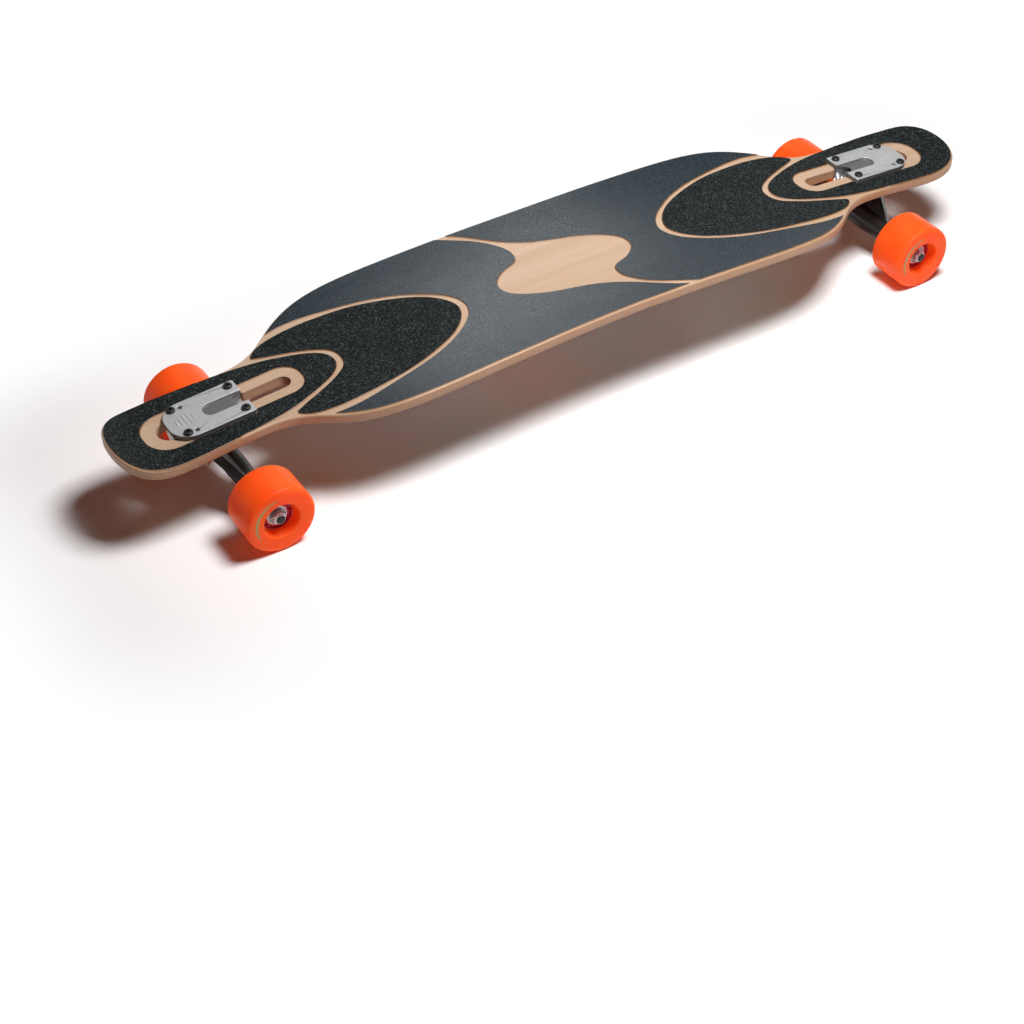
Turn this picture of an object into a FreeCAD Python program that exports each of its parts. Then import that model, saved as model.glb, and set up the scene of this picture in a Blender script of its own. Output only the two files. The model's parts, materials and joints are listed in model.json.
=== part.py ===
import FreeCAD, Part
import math
import os

# Longboard skateboard: a cambered drop-through deck with grip sheets, two trucks and four wheels.
# Millimetres. X runs along the board, +X to the front, Y across it, Z up.
# The origin is on the floor under the middle of the board, with all four wheels resting on Z = 0.

# Driving dimensions: deck
deck_length = 1066.0
deck_width = 225.0
deck_thickness = 11.0
edge_radius = 2.0
truck_spacing_share = 0.7974
seat_tilt = 3.5
camber_clearance = 13.0
camber_bulge = 5.0
kick_clearance = 9.5
kick_rise = 11.6
concave_rise = 7.0
concave_fade = 120.0
middle_pitch = 42.0
end_pitch = 14.0
rim_parts = 12
bed_gap = 0.5
bolt_bore_radius = 3.1

# Driving dimensions: deck cut-out for each truck, measured from the bolt pattern's centre, outward positive
slot_outer_end = 57.0
slot_inner_end = -91.0
slot_step = -40.6
slot_wide_half = 15.0
slot_narrow_half = 9.2
slot_corner = 4.0
slot_step_corner = 2.0

# Driving dimensions: grip sheets
grip_thickness = 0.65
glue_line = 0.85
grip_edge_margin = 2.6
wood_window_tail_gap = 13.0
wood_window_tip_gap = 15.0
wood_window_side_gap = 13.8
wood_window_plate_gap = 1.0
end_round_share = 0.9

# Driving dimensions: truck base plate
bolt_pitch_long = 63.5
bolt_pitch_short = 53.9
bolt_pitch_wide = 41.3
plate_inner_end = -40.0
plate_outer_end = 45.5
plate_half_width = 28.5
plate_thickness = 5.0
plate_inner_corner = 2.5
plate_outer_corner = 23.0
recess_end = 6.0
recess_half = 9.5
recess_depth = 2.6
bolt_hole_radius = 2.75

# Driving dimensions: steering geometry in the truck's own frame
pivot_angle = 50.0
axle_out = -8.7
axle_drop = 59.1
ring_reach = 26.0
boss_radius = 13.5
boss_inner_limit = -38.5
housing_radius = 12.0
housing_outer_limit = 44.5
web_half_width = 11.0
web_depth = 29.5
cup_mouth = 53.0
cup_radius = 9.0
cup_depth = 14.0
cup_floor = 2.0
cup_bore = 5.95
nose_clearance = 0.35

# Driving dimensions: bushings, kingpin and washers
ring_thickness = 10.0
ring_radius = 17.0
ring_bore = 8.0
seat_depth = 1.5
seat_margin = 0.6
bushing_radius = 12.5
bushing_waist = 11.2
boardside_height = 16.0
roadside_height = 9.5
washer_radius = 12.0
washer_thickness = 2.0
kingpin_radius = 4.75
kingpin_head_flats = 14.3
kingpin_head_height = 6.0
kingpin_head_seat = 42.0
kingpin_nut_height = 9.0
kingpin_free_thread = 2.5
kingpin_pocket_radius = 9.5

# Driving dimensions: hanger and axle
hanger_half_width = 86.5
hanger_end_radius = 9.5
hanger_mid_radius = 12.5
hanger_mid_half = 24.0
wing_half_span = 70.0
wing_tail_half = 15.0
wing_tail = 36.0
wing_corner = 7.5
neck_radius = 9.0
axle_radius = 4.0
axle_free_thread = 1.6
axle_nut_flats = 12.7
axle_nut_height = 6.5

# Driving dimensions: bearings and wheels
bearing_width = 7.0
bearing_radius = 11.0
race_inner_radius = 6.05
race_outer_bore = 9.6
shield_thickness = 1.0
shield_gap = 0.3
spacer_length = 10.0
spacer_radius = 5.2
speed_ring_thickness = 1.0
speed_ring_radius = 6.2
core_radius = 17.0
core_rib_bore = 9.6
wheel_radius = 37.5
wheel_width = 46.0
wheel_lip = 6.5
wheel_mouth = 19.8
wheel_throat = 17.8

# Driving dimensions: mounting hardware
bolt_radius = 2.4
bolt_head_radius = 4.75
bolt_head_height = 2.8
bolt_head_round = 1.4
bolt_socket_flats = 3.2
bolt_socket_depth = 1.7
bolt_free_thread = 1.5
nut_flats = 8.0
nut_height = 5.4
nut_seat_gap = 0.5

# Fits
press_gap = 0.03
slide_gap = 0.1
overrun = 40.0

V = FreeCAD.Vector
Z_AXIS = V(0, 0, 1)
Y_AXIS = V(0, 1, 0)
half_length = deck_length / 2
half_width = deck_width / 2
truck_x = truck_spacing_share * half_length
camber_reach = truck_x + plate_inner_end - camber_clearance
kick_start = truck_x + plate_outer_end + kick_clearance
kick_length = half_length - kick_start
wood_window_inner = truck_x + slot_inner_end - wood_window_tail_gap
wood_window_outer = truck_x + slot_outer_end + wood_window_tip_gap
wood_window_half = slot_narrow_half + wood_window_side_gap
tilt = math.radians(seat_tilt)
pivot_dir = V(math.cos(math.radians(pivot_angle)), 0, math.sin(math.radians(pivot_angle)))
kingpin_up = V(-math.sin(math.radians(pivot_angle)), 0, math.cos(math.radians(pivot_angle)))
axle_point = V(axle_out, 0, -axle_drop)
ring_centre = axle_point + pivot_dir * ring_reach
seat_height = wheel_radius + axle_out * math.sin(tilt) + axle_drop * math.cos(tilt)
deck_drop = (deck_thickness + bed_gap) * math.cos(tilt)
ENDS = {"front": 0, "rear": 180}
nodes = {}


def at_truck(shape, end):
    # The truck's own frame: x outward, y across, z up, its origin on the deck's top between the bolts.
    placed = shape.copy()
    placed.rotate(V(0, 0, 0), Y_AXIS, seat_tilt)
    placed.translate(V(truck_x, 0, seat_height))
    placed.rotate(V(0, 0, 0), Z_AXIS, ENDS[end])
    return placed


def cylinder(radius, start, end):
    axis = end - start
    return Part.makeCylinder(radius, axis.Length, start, axis)


def tube(radius, bore, start, end):
    return cylinder(radius, start, end).cut(cylinder(bore, start, end))


def hex_prism(flats, start, end):
    # A regular six-sided prism between two points.
    axis = end - start
    side = Y_AXIS if abs(axis.normalize().dot(Y_AXIS)) < 0.9 else Z_AXIS
    across = axis.cross(side).normalize()
    other = axis.cross(across)
    reach = flats / math.sqrt(3)
    corners = []
    for i in range(7):
        turn = math.radians(60 * i)
        corners.append(start + (across * math.cos(turn) + other * math.sin(turn)) * reach)
    return Part.Face(Part.makePolygon(corners)).extrude(end - start)


def rounded_face(corners):
    # A flat face from (point, corner radius) pairs; each corner becomes an arc that meets both its sides.
    pieces = []
    ends = []
    count = len(corners)
    for i in range(count):
        here, radius = corners[i]
        back = (corners[i - 1][0] - here).normalize()
        ahead = (corners[(i + 1) % count][0] - here).normalize()
        half = math.acos(max(-1, min(1, back.dot(ahead)))) / 2
        if radius > 0:
            reach = radius / math.tan(half)
            centre = here + (back + ahead).normalize() * (radius / math.sin(half))
            middle = centre + (here - centre).normalize() * radius
            first = here + back * reach
            last = here + ahead * reach
            pieces.append(Part.Arc(first, middle, last).toShape())
            ends.append((first, last))
        else:
            ends.append((here, here))
    edges = list(pieces)
    for i in range(count):
        leave = ends[i][1]
        reach = ends[(i + 1) % count][0]
        if (reach - leave).Length > press_gap / 10:
            edges.append(Part.makeLine(leave, reach))
    return Part.Face(Part.Wire(Part.__sortEdges__(edges)))


def smooth_loop(points, parts=1):
    # One smooth closed curve, shared out over a number of edges.
    curve = Part.BSplineCurve()
    curve.interpolate(points, PeriodicFlag=True)
    first, last = curve.FirstParameter, curve.LastParameter
    edges = []
    for i in range(parts):
        run = curve.copy()
        if parts > 1:
            run.segment(first + (last - first) * i / parts, first + (last - first) * (i + 1) / parts)
        edges.append(run.toShape())
    return Part.Face(Part.Wire(edges))


def smooth_edge(points):
    curve = Part.BSplineCurve()
    curve.interpolate(points)
    return curve.toShape()


# Deck: surface
def profile_height(x):
    # Height of the centre line: arched between the trucks, flat under the plates, kicked up at the tips.
    reach = abs(x)
    slope = math.tan(tilt)
    bed = seat_height - bed_gap
    height = bed - slope * (reach - truck_x)
    if reach < camber_reach:
        rest = 1 - (reach / camber_reach) ** 2
        height = bed - slope * (camber_reach - truck_x) + slope * camber_reach / 2 * rest
        height += camber_bulge * rest ** 2
    if reach > kick_start:
        height += kick_rise * ((reach - kick_start) / kick_length) ** 2
    return height


def concave_height(x):
    # How far the deck's edges stand above its centre line.
    share = max(0, min(1, (camber_reach - abs(x)) / concave_fade))
    return concave_rise * share * share * (3 - 2 * share)


def top_surface():
    # A smooth surface: long steps between the trucks, short ones at the ends, one parabola across.
    steps = [middle_pitch * i for i in range(round((camber_reach - end_pitch) / middle_pitch))]
    while steps[-1] < half_length + overrun:
        steps.append(steps[-1] + end_pitch)
    wide = half_width + overrun
    knots = [-x for x in reversed(steps[1:])] + steps
    spans = len(knots) - 1
    full = [knots[0]] * 3 + knots + [knots[-1]] * 3
    poles = []
    for i in range(spans + 3):
        x = (full[i + 1] + full[i + 2] + full[i + 3]) / 3
        middle = profile_height(x)
        edge = concave_height(x) * (wide / half_width) ** 2
        poles.append([V(x, -wide, middle + edge), V(x, 0, middle - edge), V(x, wide, middle + edge)])
    inner = [1] * (spans - 1)
    surface = Part.BSplineSurface()
    times = [4] + inner + [4]
    surface.buildFromPolesMultsKnots(poles, times, [3, 3], knots, [-wide, wide], False, False, 3, 2)
    return surface.toShape()


# Deck: plan outline of a quarter, as shares of the half length and the half width
outline_shares = [
    (0.0, 0.98), (0.17, 0.99), (0.325, 1.0), (0.425, 0.994), (0.475, 0.972), (0.512, 0.938),
    (0.548, 0.88), (0.578, 0.806), (0.606, 0.716), (0.634, 0.612), (0.666, 0.522), (0.7, 0.474),
    (0.74, 0.4625), (0.785, 0.467), (0.83, 0.477), (0.87, 0.4865), (0.907, 0.483), (0.943, 0.459),
    (0.97, 0.399), (0.988, 0.288), (0.9975, 0.148)]


def deck_outline(margin):
    length = half_length - margin
    width = half_width - margin
    quarter = [V(a * length, b * width, 0) for a, b in outline_shares]
    tip = [V(length, 0, 0)]
    front = quarter + tip + [V(p.x, -p.y, 0) for p in reversed(quarter)]
    rear = [V(-p.x, p.y, 0) for p in front[1:-1]]
    return smooth_loop(front + list(reversed(rear)), rim_parts)


def column(face):
    # The upright prism over a plan face.
    low = face.copy()
    low.translate(V(0, 0, -overrun))
    return low.extrude(V(0, 0, seat_height + 3 * overrun))


def truck_slot():
    # The keyhole cut-out that the truck drops through, with a narrow rounded tail toward the middle.
    low = -overrun
    wide = slot_wide_half
    thin = slot_narrow_half
    plan = rounded_face([
        (V(slot_inner_end, -thin, low), thin), (V(slot_step, -thin, low), slot_step_corner),
        (V(slot_step, -wide, low), slot_corner), (V(slot_outer_end, -wide, low), wide),
        (V(slot_outer_end, wide, low), wide), (V(slot_step, wide, low), slot_corner),
        (V(slot_step, thin, low), slot_step_corner), (V(slot_inner_end, thin, low), thin)])
    return plan.extrude(V(0, 0, 2 * overrun))


def bolt_places():
    for x in (-bolt_pitch_long / 2, bolt_pitch_long / 2):
        for y in (-bolt_pitch_wide / 2, bolt_pitch_wide / 2):
            yield V(x, y, 0)


def make_deck():
    slab = top_surface().extrude(V(0, 0, -deck_thickness))
    deck = slab.common(column(deck_outline(0)))
    rims = [e for e in deck.Edges if e.Length > 2 * deck_thickness]
    deck = deck.makeFillet(edge_radius, rims)
    cuts = []
    for end in ENDS:
        cuts.append(at_truck(truck_slot(), end))
        for place in bolt_places():
            hole = cylinder(bolt_bore_radius, place - Z_AXIS * overrun, place + Z_AXIS * overrun)
            cuts.append(at_truck(hole, end))
    return deck.cut(cuts)


# Grip sheets: plan curves as shares of the deck's half length and half width
tongue_shares = [
    (0.532, 0.0), (0.538, 0.1), (0.556, 0.185), (0.594, 0.275), (0.645, 0.36), (0.71, 0.42), (0.78, 0.45)]
pad_notch_shares = [
    (0.517, 0.0), (0.523, 0.115), (0.548, 0.22), (0.59, 0.32), (0.635, 0.402), (0.66, 0.455)]
pad_edge_shares = [
    (0.66, 0.48), (0.645, 0.545), (0.605, 0.605), (0.56, 0.622), (0.5, 0.607), (0.435, 0.567),
    (0.375, 0.485), (0.315, 0.36), (0.272, 0.195), (0.254, 0.0)]
main_edge_shares = [
    (0.237, 0.0), (0.25, 0.17), (0.285, 0.325), (0.345, 0.485), (0.41, 0.585), (0.475, 0.65), (0.55, 0.705),
    (0.606, 0.69)]
window_shares = [
    (-0.165, 0.985), (-0.116, 0.818), (-0.069, 0.622), (-0.022, 0.484), (0.03, 0.395), (0.086, 0.311),
    (0.128, 0.2), (0.152, 0.08), (0.154, -0.05), (0.137, -0.16), (0.108, -0.24), (0.08, -0.3),
    (0.072, -0.4), (0.082, -0.56), (0.113, -0.737), (0.155, -0.88), (0.19, -0.985)]


def spread(shares):
    return [V(a * half_length, b * half_width, 0) for a, b in shares]


def mirrored(points):
    # The other half across the board's length, in the order that joins on at the middle.
    return [V(p.x, -p.y, 0) for p in reversed(points)]


def wood_window():
    # Bare wood left open round the base plate and the tail of its cut-out.
    wide = plate_half_width + wood_window_plate_gap
    thin = wood_window_half
    step = truck_x + plate_inner_end - wood_window_plate_gap
    return rounded_face([
        (V(wood_window_inner, -thin, 0), end_round_share * thin), (V(step, -thin, 0), slot_step_corner),
        (V(step, -wide, 0), plate_inner_corner), (V(wood_window_outer, -wide, 0), end_round_share * wide),
        (V(wood_window_outer, wide, 0), end_round_share * wide), (V(step, wide, 0), plate_inner_corner),
        (V(step, thin, 0), slot_step_corner), (V(wood_window_inner, thin, 0), end_round_share * thin)])


def end_grip_plan():
    # The end of the deck, its inner boundary a rounded tongue, with the wood window left open.
    side = spread(tongue_shares)
    curve = smooth_edge(mirrored(side)[:-1] + side)
    first = curve.valueAt(curve.FirstParameter)
    last = curve.valueAt(curve.LastParameter)
    wide = V(0, half_width, 0)
    far = half_length + overrun
    loop = [curve, Part.makeLine(last, last + wide), Part.makeLine(last + wide, V(far, last.y, 0) + wide)]
    loop.append(Part.makeLine(V(far, last.y, 0) + wide, V(far, first.y, 0) - wide))
    loop.append(Part.makeLine(V(far, first.y, 0) - wide, first - wide))
    loop.append(Part.makeLine(first - wide, first))
    plan = Part.Face(Part.Wire(Part.__sortEdges__(loop)))
    return plan.cut(wood_window())


def pad_plan():
    # The leaf-shaped pad under each foot, notched round the end grip's tongue.
    notch = spread(pad_notch_shares)
    edge = spread(pad_edge_shares)
    notch_curve = smooth_edge(mirrored(notch)[:-1] + notch)
    edge_curve = smooth_edge(edge + mirrored(edge)[1:])
    tips = []
    for sign in (-1, 1):
        tips.append(Part.makeLine(V(notch[-1].x, sign * notch[-1].y, 0), V(edge[0].x, sign * edge[0].y, 0)))
    return Part.Face(Part.Wire(Part.__sortEdges__([notch_curve, edge_curve] + tips)))


def main_grip_plan():
    # The wide sheet between one pad and the curved bare strip across the middle of the deck.
    side = spread(main_edge_shares)
    pad_curve = smooth_edge(mirrored(side)[:-1] + side)
    window = spread(window_shares)
    window_curve = smooth_edge(window)
    wide = V(0, half_width, 0)
    pad_near = V(side[-1].x, -side[-1].y, 0)
    loop = [pad_curve, window_curve]
    loop.append(Part.makeLine(side[-1], side[-1] + wide))
    loop.append(Part.makeLine(side[-1] + wide, window[0] + wide))
    loop.append(Part.makeLine(window[0] + wide, window[0]))
    loop.append(Part.makeLine(window[-1], window[-1] - wide))
    loop.append(Part.makeLine(window[-1] - wide, pad_near - wide))
    loop.append(Part.makeLine(pad_near - wide, pad_near))
    return Part.Face(Part.Wire(Part.__sortEdges__(loop)))


def make_grips():
    surface = top_surface()
    surface.translate(V(0, 0, glue_line))
    sheet = surface.extrude(V(0, 0, grip_thickness)).common(column(deck_outline(grip_edge_margin)))
    plans = {"end_grip": end_grip_plan(), "foot_pad": pad_plan(), "main_grip": main_grip_plan()}
    for name, plan in plans.items():
        for end, turn in ENDS.items():
            tool = column(plan)
            tool.rotate(V(0, 0, 0), Z_AXIS, turn)
            nodes[end + "_" + name] = sheet.common(tool)


# Truck: base plate, kingpin and pivot cup
def along_kingpin(distance):
    return ring_centre + kingpin_up * distance


def along_pivot(distance):
    return axle_point + pivot_dir * distance


boss_face = ring_thickness / 2 - seat_depth + boardside_height + washer_thickness
roadside_face = -(ring_thickness / 2 - seat_depth + roadside_height)
nut_face = roadside_face - washer_thickness
web_shares = [(-0.75, 0.0), (-0.42, -0.8), (-0.04, -0.52), (0.4, -0.4), (0.9, -0.5), (0.97, 0.0)]


def make_baseplate():
    plate = rounded_face([
        (V(plate_inner_end, -plate_half_width, 0), plate_inner_corner),
        (V(plate_outer_end, -plate_half_width, 0), plate_outer_corner),
        (V(plate_outer_end, plate_half_width, 0), plate_outer_corner),
        (V(plate_inner_end, plate_half_width, 0), plate_inner_corner)]).extrude(V(0, 0, plate_thickness))
    boss = cylinder(boss_radius, along_kingpin(boss_face), along_kingpin(boss_face + 2 * overrun))
    housing = cylinder(housing_radius, along_pivot(cup_mouth), along_pivot(cup_mouth + overrun))
    reach = [V(a * abs(plate_inner_end if a < 0 else housing_outer_limit), -web_half_width, b * web_depth)
             for a, b in web_shares]
    web = Part.Face(Part.makePolygon(reach + reach[:1])).extrude(V(0, 2 * web_half_width, 0))
    keep = Part.makeBox(
        housing_outer_limit - boss_inner_limit, 2 * plate_half_width, axle_drop + plate_thickness,
        V(boss_inner_limit, -plate_half_width, -axle_drop))
    body = plate.fuse([boss.common(keep), housing.common(keep), web.common(keep)])
    cuts = [cylinder(kingpin_radius + press_gap, along_kingpin(0), along_kingpin(2 * overrun))]
    pocket = cylinder(kingpin_pocket_radius, along_kingpin(kingpin_head_seat), along_kingpin(3 * overrun))
    cuts.append(pocket)
    recess = rounded_face([
        (V(plate_inner_end - overrun, -recess_half, plate_thickness - recess_depth), 0),
        (V(recess_end, -recess_half, plate_thickness - recess_depth), end_round_share * recess_half),
        (V(recess_end, recess_half, plate_thickness - recess_depth), end_round_share * recess_half),
        (V(plate_inner_end - overrun, recess_half, plate_thickness - recess_depth), 0)])
    cuts.append(recess.extrude(V(0, 0, overrun)))
    cup_end = along_pivot(cup_mouth + cup_depth)
    cuts.append(cylinder(cup_radius + press_gap, along_pivot(ring_reach), cup_end))
    holes = list(bolt_places())
    inner = -bolt_pitch_long / 2 + bolt_pitch_short
    holes += [V(inner, -bolt_pitch_wide / 2, 0), V(inner, bolt_pitch_wide / 2, 0)]
    for place in holes:
        cuts.append(cylinder(bolt_hole_radius, place, place + Z_AXIS * overrun))
    return body.cut(cuts).removeSplitter()


def make_pivot_cup():
    cup = cylinder(cup_radius, along_pivot(cup_mouth), along_pivot(cup_mouth + cup_depth))
    bore = cylinder(cup_bore, along_pivot(ring_reach), along_pivot(cup_mouth + cup_depth - cup_floor))
    return cup.cut(bore)


def make_kingpin():
    tip = nut_face - kingpin_nut_height - kingpin_free_thread
    shank = cylinder(kingpin_radius, along_kingpin(tip), along_kingpin(kingpin_head_seat))
    head_top = along_kingpin(kingpin_head_seat + kingpin_head_height)
    head = hex_prism(kingpin_head_flats, along_kingpin(kingpin_head_seat), head_top)
    return shank.fuse(head).removeSplitter()


def make_bushing(start, height):
    # A barrel bushing: two cones meeting at its slightly larger middle.
    middle = along_kingpin(start + height / 2)
    rise = abs(height) / 2
    way = kingpin_up * height
    first = Part.makeCone(bushing_waist, bushing_radius, rise, along_kingpin(start), way)
    last = Part.makeCone(bushing_radius, bushing_waist, rise, middle, way)
    bore = cylinder(kingpin_radius + slide_gap, along_kingpin(start), along_kingpin(start + height))
    return first.fuse(last).cut(bore).removeSplitter()


def make_kingpin_nut():
    start = along_kingpin(nut_face)
    end = along_kingpin(nut_face - kingpin_nut_height)
    return hex_prism(kingpin_head_flats, start, end).cut(cylinder(kingpin_radius + press_gap, start, end))


# Truck: hanger and axle
nose_radius = cup_bore - nose_clearance
nose_tip = cup_mouth + cup_depth - cup_floor - nose_clearance


def wing_point(y, along):
    return axle_point + V(0, y, 0) + pivot_dir * along - kingpin_up * (ring_thickness / 2)


def make_hanger():
    bar = cylinder(
        hanger_mid_radius, axle_point - Y_AXIS * hanger_mid_half, axle_point + Y_AXIS * hanger_mid_half)
    solids = []
    for side in (-1, 1):
        start = axle_point + Y_AXIS * (side * hanger_mid_half)
        run = hanger_half_width - hanger_mid_half
        solids.append(Part.makeCone(hanger_mid_radius, hanger_end_radius, run, start, Y_AXIS * side))
    wings = rounded_face([
        (wing_point(-wing_half_span, 0), 0), (wing_point(wing_half_span, 0), 0),
        (wing_point(wing_tail_half, wing_tail), wing_corner),
        (wing_point(-wing_tail_half, wing_tail), wing_corner)]).extrude(kingpin_up * ring_thickness)
    solids.append(wings)
    half_ring = ring_thickness / 2
    solids.append(cylinder(ring_radius, along_kingpin(-half_ring), along_kingpin(half_ring)))
    neck_start = ring_reach + ring_bore
    neck_run = cup_mouth - nose_clearance - neck_start
    solids.append(Part.makeCone(neck_radius, nose_radius, neck_run, along_pivot(neck_start), pivot_dir))
    ball = nose_tip - nose_radius
    solids.append(cylinder(nose_radius, along_pivot(cup_mouth - nose_clearance), along_pivot(ball)))
    solids.append(Part.makeSphere(nose_radius, along_pivot(ball)))
    body = bar.fuse(solids)
    cuts = [cylinder(ring_bore, along_kingpin(-overrun), along_kingpin(overrun))]
    for side in (-1, 1):
        seat = along_kingpin(side * (half_ring - seat_depth))
        face = along_kingpin(side * half_ring)
        far = along_kingpin(side * overrun)
        cuts.append(cylinder(bushing_waist + seat_margin, seat, far))
        cuts.append(cylinder(bushing_radius + seat_margin, face, far))
    ends = V(0, hanger_half_width + overrun, 0)
    cuts.append(cylinder(axle_radius + press_gap, axle_point - ends, axle_point + ends))
    return body.cut(cuts).removeSplitter()


# Wheel stack along the axle, measured from the middle of the board
ring_in = hanger_half_width + speed_ring_thickness
bearing_in = ring_in + bearing_width
bearing_out = bearing_in + spacer_length
ring_out = bearing_out + bearing_width
nut_in = ring_out + speed_ring_thickness
nut_out = nut_in + axle_nut_height
axle_half = nut_out + axle_free_thread
wheel_middle = (ring_in + ring_out) / 2


def on_axle(y):
    return axle_point + V(0, y, 0)


def both_sides(maker):
    # The same piece on both ends of an axle, as one group of separate solids.
    solids = []
    for side in (-1, 1):
        solids += maker(side)
    return Part.makeCompound(solids)


def axle_tubes(radius, spans):
    bore = axle_radius + press_gap

    def sleeves(side):
        return [tube(radius, bore, on_axle(side * a), on_axle(side * b)) for a, b in spans]
    return both_sides(sleeves)


def make_axle_nuts():
    def nut(side):
        start = on_axle(side * nut_in)
        end = on_axle(side * nut_out)
        return [hex_prism(axle_nut_flats, start, end).cut(cylinder(axle_radius + press_gap, start, end))]
    return both_sides(nut)


def make_tyre(side):
    # The tyre's section, turned about the axle: rounded lips outside, a funnel to the core on each face.
    middle = on_axle(side * wheel_middle)
    half = wheel_width / 2
    core_half = (ring_out - ring_in) / 2
    lip = wheel_lip * (1 - math.sqrt(0.5))
    bore = core_radius + press_gap
    section = []
    for flip in (-1, 1):
        face = middle + Y_AXIS * (flip * half)
        shoulder = face - Y_AXIS * (flip * wheel_lip)
        throat = middle + Y_AXIS * (flip * core_half)
        lip_start = face + Z_AXIS * (wheel_radius - wheel_lip)
        lip_end = shoulder + Z_AXIS * wheel_radius
        lip_middle = face - Y_AXIS * (flip * lip) + Z_AXIS * (wheel_radius - lip)
        section.append(Part.Arc(lip_start, lip_middle, lip_end).toShape())
        section.append(Part.makeLine(lip_start, face + Z_AXIS * wheel_mouth))
        section.append(Part.makeLine(face + Z_AXIS * wheel_mouth, throat + Z_AXIS * wheel_throat))
        section.append(Part.makeLine(throat + Z_AXIS * wheel_throat, throat + Z_AXIS * bore))
    tread = half - wheel_lip
    section.append(Part.makeLine(
        middle + Y_AXIS * tread + Z_AXIS * wheel_radius, middle - Y_AXIS * tread + Z_AXIS * wheel_radius))
    section.append(Part.makeLine(
        middle + Y_AXIS * core_half + Z_AXIS * bore, middle - Y_AXIS * core_half + Z_AXIS * bore))
    return Part.Face(Part.Wire(Part.__sortEdges__(section))).revolve(middle, Y_AXIS, 360)


def make_core(side):
    body = tube(core_radius, core_rib_bore, on_axle(side * ring_in), on_axle(side * ring_out))
    seats = [cylinder(bearing_radius + press_gap, on_axle(side * ring_in), on_axle(side * bearing_in))]
    seats.append(cylinder(bearing_radius + press_gap, on_axle(side * bearing_out), on_axle(side * ring_out)))
    return body.cut(seats)


def make_outer_races(side):
    # Outer race and its two shields turn with the wheel; a hair gap parts them from the inner race.
    races = []
    for start in (ring_in, bearing_out):
        end = start + bearing_width
        race = tube(bearing_radius, race_outer_bore, on_axle(side * start), on_axle(side * end))
        shields = []
        for a, b in ((start, start + shield_thickness), (end - shield_thickness, end)):
            rim = race_outer_bore + shield_gap
            eye = race_inner_radius + shield_gap
            shields.append(tube(rim, eye, on_axle(side * a), on_axle(side * b)))
        races.append(race.fuse(shields).removeSplitter())
    return Part.makeCompound(races)


# Truck: mounting hardware
def make_bolts():
    bolts = []
    for place in bolt_places():
        top = place + Z_AXIS * plate_thickness
        head_top = top + Z_AXIS * bolt_head_height
        tip = place - Z_AXIS * (deck_drop + nut_seat_gap + nut_height + bolt_free_thread)
        head = cylinder(bolt_head_radius, top, head_top)
        crown = [e for e in head.Edges if e.BoundBox.ZMin > head_top.z - bolt_head_round]
        head = head.makeFillet(bolt_head_round, crown)
        socket_floor = head_top - Z_AXIS * bolt_socket_depth
        socket = hex_prism(bolt_socket_flats, socket_floor, head_top + Z_AXIS * overrun)
        bolts.append(cylinder(bolt_radius, tip, top).fuse(head).cut(socket).removeSplitter())
    return Part.makeCompound(bolts)


def make_nuts():
    nuts = []
    for place in bolt_places():
        seat = place - Z_AXIS * (deck_drop + nut_seat_gap)
        end = seat - Z_AXIS * nut_height
        nuts.append(hex_prism(nut_flats, seat, end).cut(cylinder(bolt_radius + press_gap, seat, end)))
    return Part.makeCompound(nuts)


# Assembly
nodes["deck"] = make_deck()
make_grips()
spread_rings = [(hanger_half_width, ring_in), (ring_out, nut_in)]
spread_races = [(ring_in, bearing_in), (bearing_out, ring_out)]
truck_pieces = {
    "baseplate": make_baseplate(),
    "pivot_cup": make_pivot_cup(),
    "kingpin": make_kingpin(),
    "boardside_bushing": make_bushing(ring_thickness / 2 - seat_depth, boardside_height),
    "roadside_bushing": make_bushing(-(ring_thickness / 2 - seat_depth), -roadside_height),
    "boardside_washer": tube(
        washer_radius, kingpin_radius + slide_gap, along_kingpin(boss_face - washer_thickness),
        along_kingpin(boss_face)),
    "roadside_washer": tube(
        washer_radius, kingpin_radius + slide_gap, along_kingpin(roadside_face), along_kingpin(nut_face)),
    "kingpin_nut": make_kingpin_nut(),
    "hanger": make_hanger(),
    "axle": cylinder(axle_radius, on_axle(-axle_half), on_axle(axle_half)),
    "axle_nuts": make_axle_nuts(),
    "speed_rings": axle_tubes(speed_ring_radius, spread_rings),
    "bearing_inner_races": axle_tubes(race_inner_radius, spread_races),
    "bearing_spacers": axle_tubes(spacer_radius, [(bearing_in, bearing_out)]),
    "mounting_bolts": make_bolts(),
    "mounting_nuts": make_nuts(),
}
for end in ENDS:
    for name, shape in truck_pieces.items():
        nodes[end + "_" + name] = at_truck(shape, end)
    outward = 1 if end == "front" else -1
    for hand, side in (("left", outward), ("right", -outward)):
        wheel = end + "_" + hand
        nodes[wheel + "_tyre"] = at_truck(make_tyre(side), end)
        nodes[wheel + "_core"] = at_truck(make_core(side), end)
        nodes[wheel + "_outer_races"] = at_truck(make_outer_races(side), end)

os.makedirs("parts", exist_ok=True)
for name, shape in nodes.items():
    shape.exportStep("parts/" + name + ".step")
    state = "valid" if shape.isValid() else "INVALID"
    print(name, len(shape.Solids), "solids", round(shape.Volume), "mm3", state)
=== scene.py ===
import json
import math

import bmesh
import bpy
from mathutils import Matrix, Vector
from mathutils.bvhtree import BVHTree

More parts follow.
